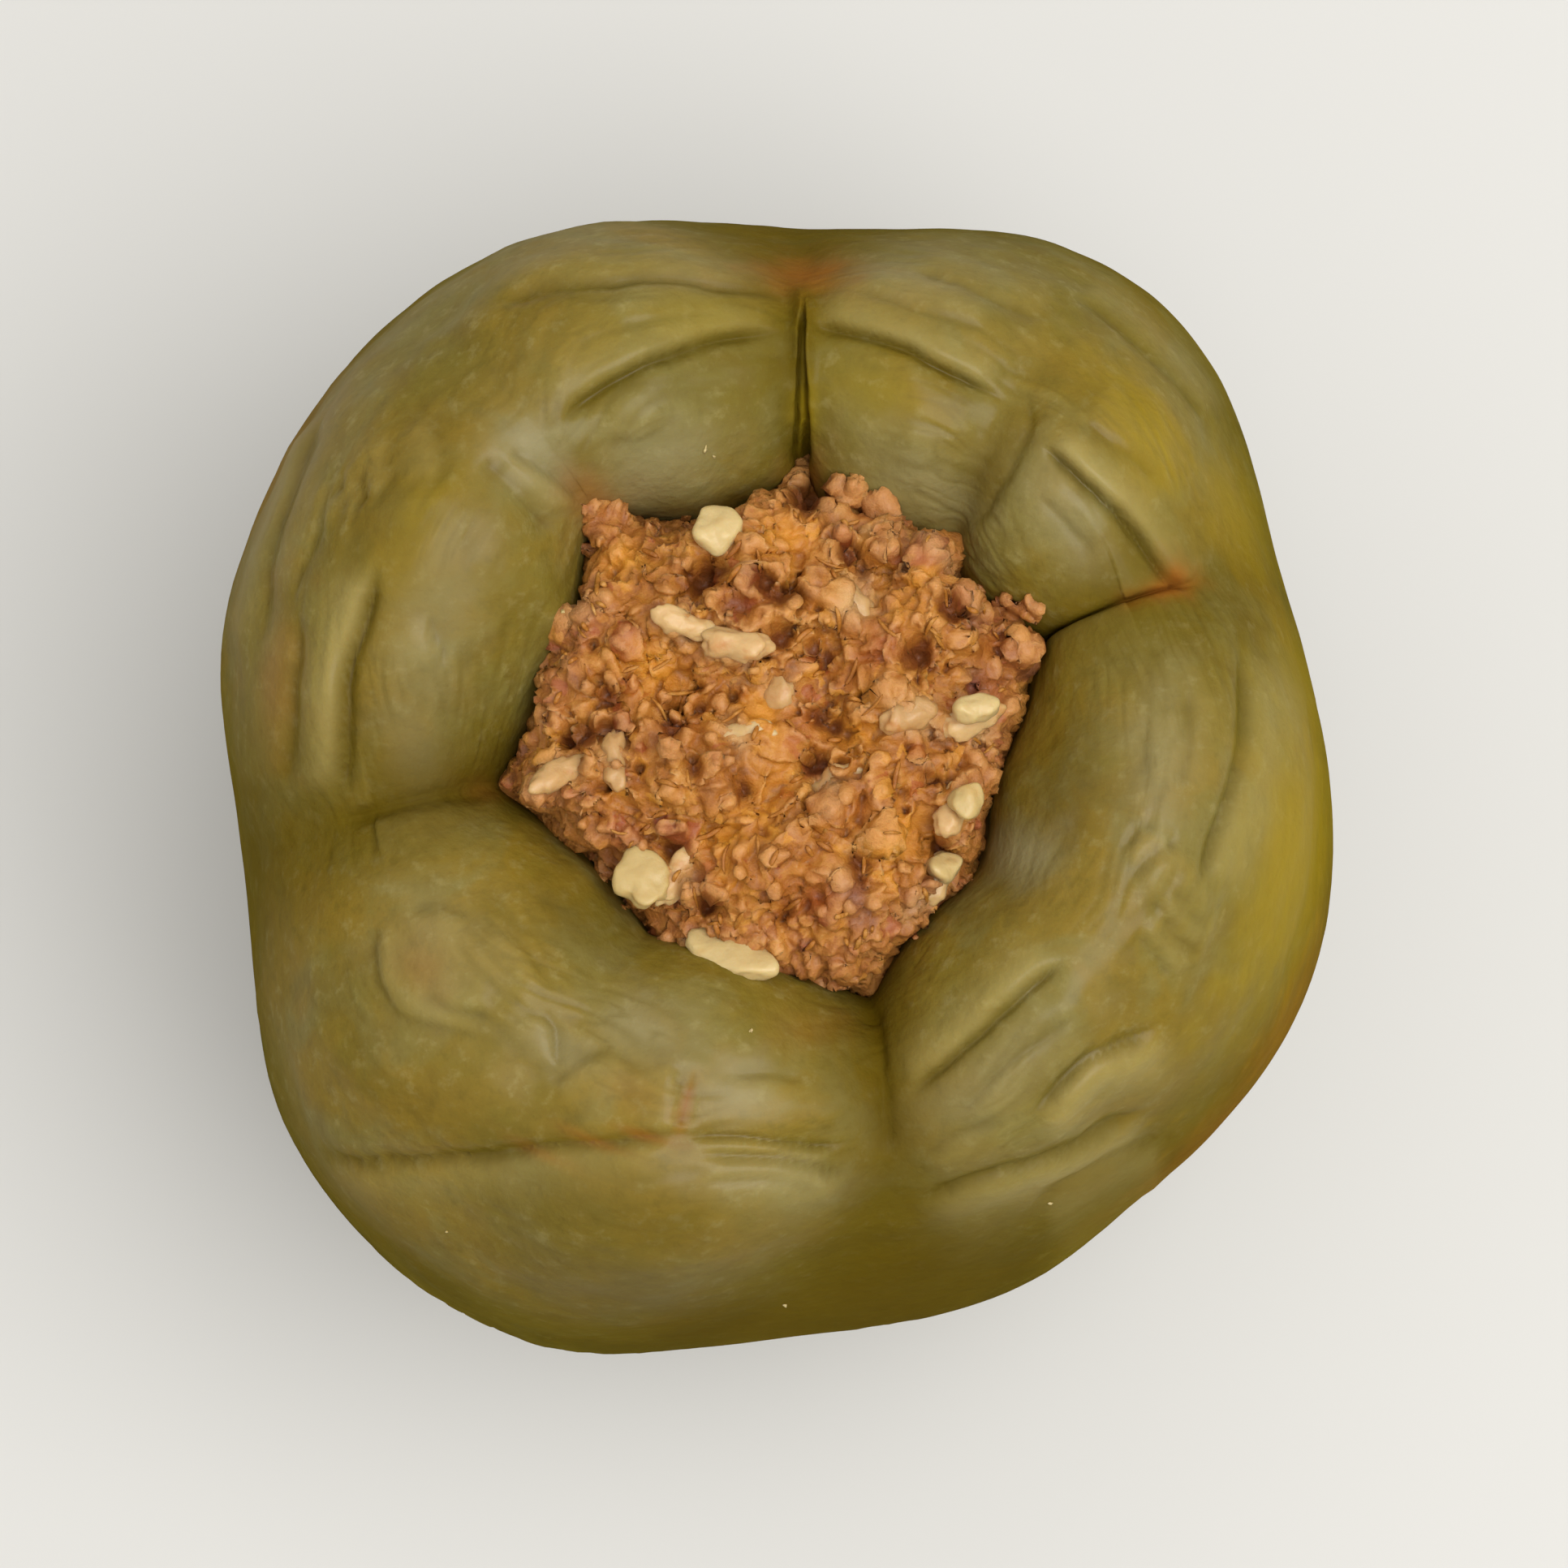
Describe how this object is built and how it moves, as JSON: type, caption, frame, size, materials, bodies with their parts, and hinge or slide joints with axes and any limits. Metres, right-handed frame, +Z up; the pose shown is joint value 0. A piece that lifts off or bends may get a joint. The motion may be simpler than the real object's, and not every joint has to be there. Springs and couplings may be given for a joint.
{
  "type": "stuffed bell pepper",
  "caption": "Cooked green bell pepper standing upright, cored and packed with minced meat and rice that heaps up through the round opening on top.",
  "frame": {"origin": "under the middle of the pepper's outline, on the surface it stands on", "axes": "+Z up through the opening, +X to the viewer's right, +Y away from the viewer"},
  "size_m": [0.0791, 0.08, 0.0881],
  "materials": {
    "wet_skin": "cooked olive-green pepper skin, wet",
    "mince": "crumbly cooked mince and rice, moist"
  },
  "bodies": {
    "root": {"pepper_wall": "wet_skin", "filling": "mince"}
  },
  "joints": []
}
